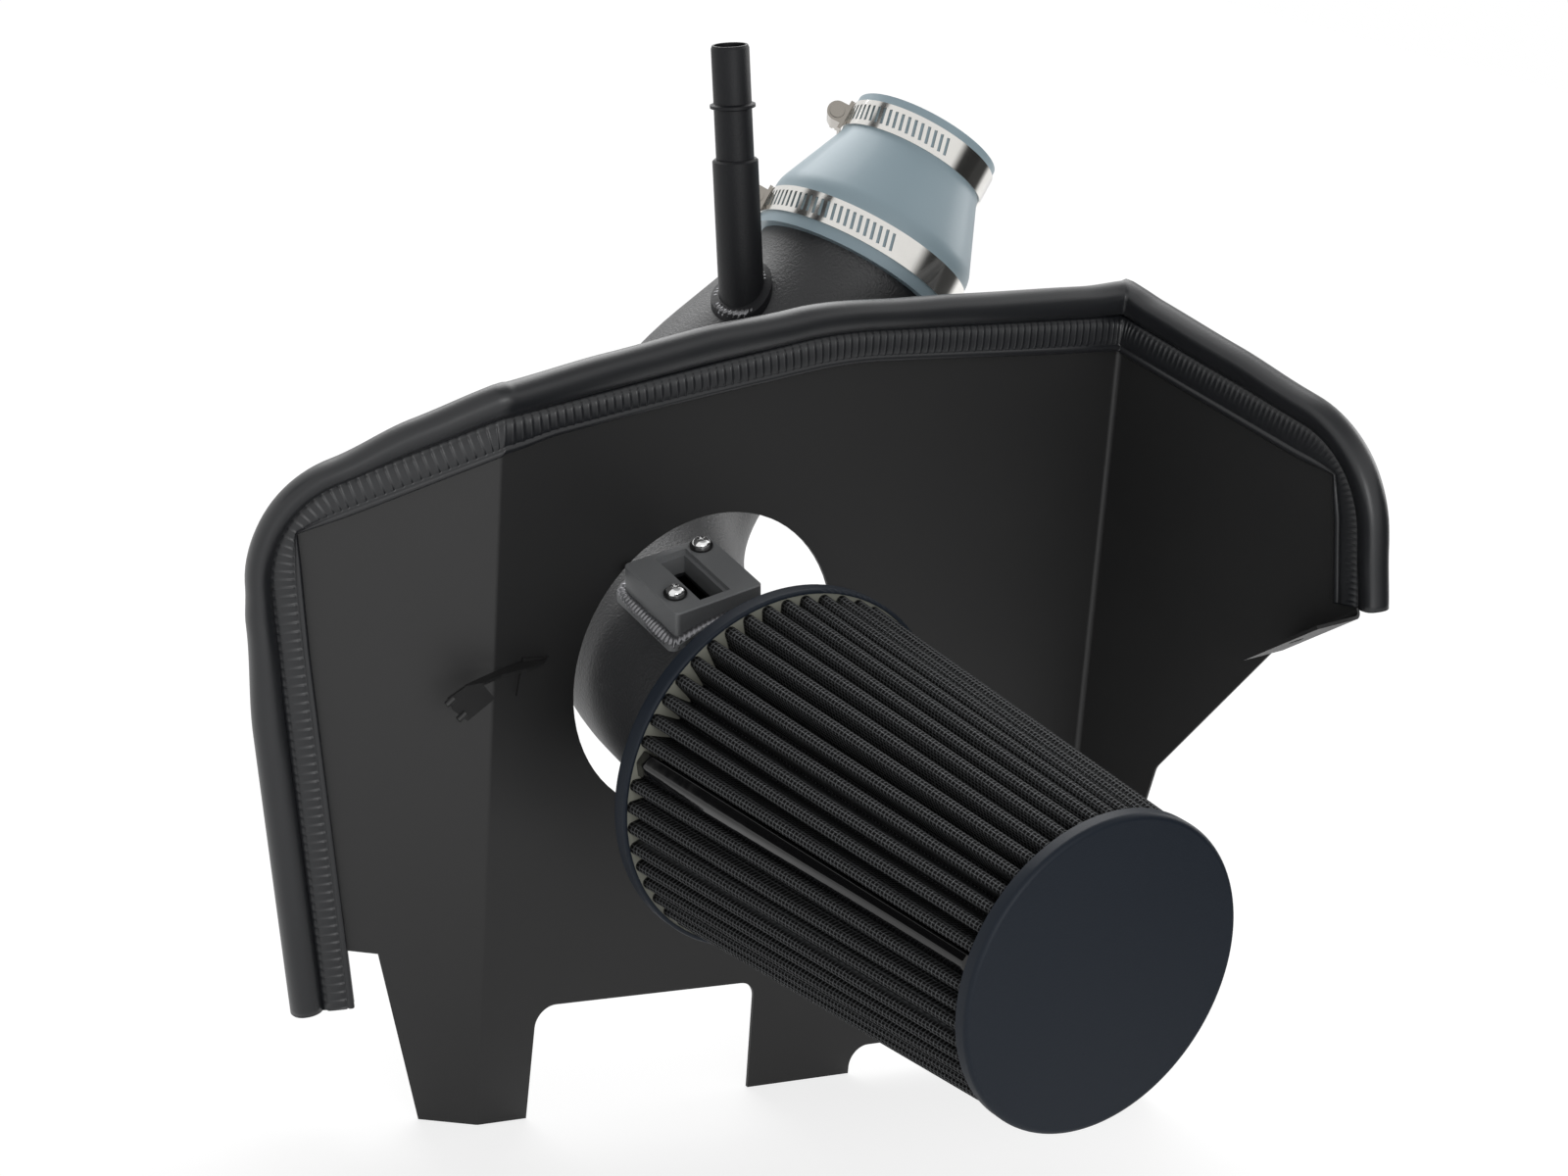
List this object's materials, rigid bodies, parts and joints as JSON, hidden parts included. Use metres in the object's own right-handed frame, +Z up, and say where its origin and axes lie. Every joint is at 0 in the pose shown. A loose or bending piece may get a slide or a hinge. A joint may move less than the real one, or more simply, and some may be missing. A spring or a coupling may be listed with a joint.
{
  "type": "cold air intake",
  "caption": "Cone air filter on a bent metal intake tube through a folded heat shield with an edge seal, a vent tube, a sensor flange and a clamped reducing hose.",
  "frame": {"origin": "middle of the model's footprint, on the plane the shield's feet stand on", "axes": "+X along the main panel from its left fold to its right fold, +Y from the filter through the shield towards the engine, +Z up"},
  "size_m": [0.4636, 0.4336, 0.4486],
  "materials": {
    "shield": "satin black powder coat on folded steel sheet",
    "tube": "fine textured black powder coat on aluminium tube",
    "seal": "matt black extruded rubber",
    "screw": "bright plated",
    "washer": "black oxide",
    "hose": "smooth grey silicone rubber",
    "clamp": "polished stainless band",
    "moulding": "smooth satin black moulded rubber",
    "bond": "cast polyurethane bond",
    "media": "pleated cotton under black wire mesh",
    "cage": "expanded steel",
    "strip": "glossy black strip, left bare"
  },
  "bodies": {
    "root": {"heat_shield": "shield", "edge_seal": "seal", "line_clip": "shield", "intake_tube": "tube", "sensor_flange": "tube", "sensor_screws": "screw", "sensor_washers": "washer", "vent_tube": "tube", "reducer_hose": "hose", "engine_clamp_band": "clamp", "engine_clamp_saddle": "clamp", "engine_clamp_screw": "clamp", "tube_clamp_band": "clamp", "tube_clamp_saddle": "clamp", "tube_clamp_screw": "clamp", "filter_clamp_band": "clamp", "filter_clamp_saddle": "clamp", "filter_clamp_screw": "clamp", "filter_base": "moulding", "bond_ring": "bond", "filter_media": "media", "filter_cage": "cage", "filter_cap": "moulding", "label_strip": "strip", "tube_bracket": "shield", "bracket_bolt": "washer", "bracket_nut": "washer"}
  },
  "joints": []
}
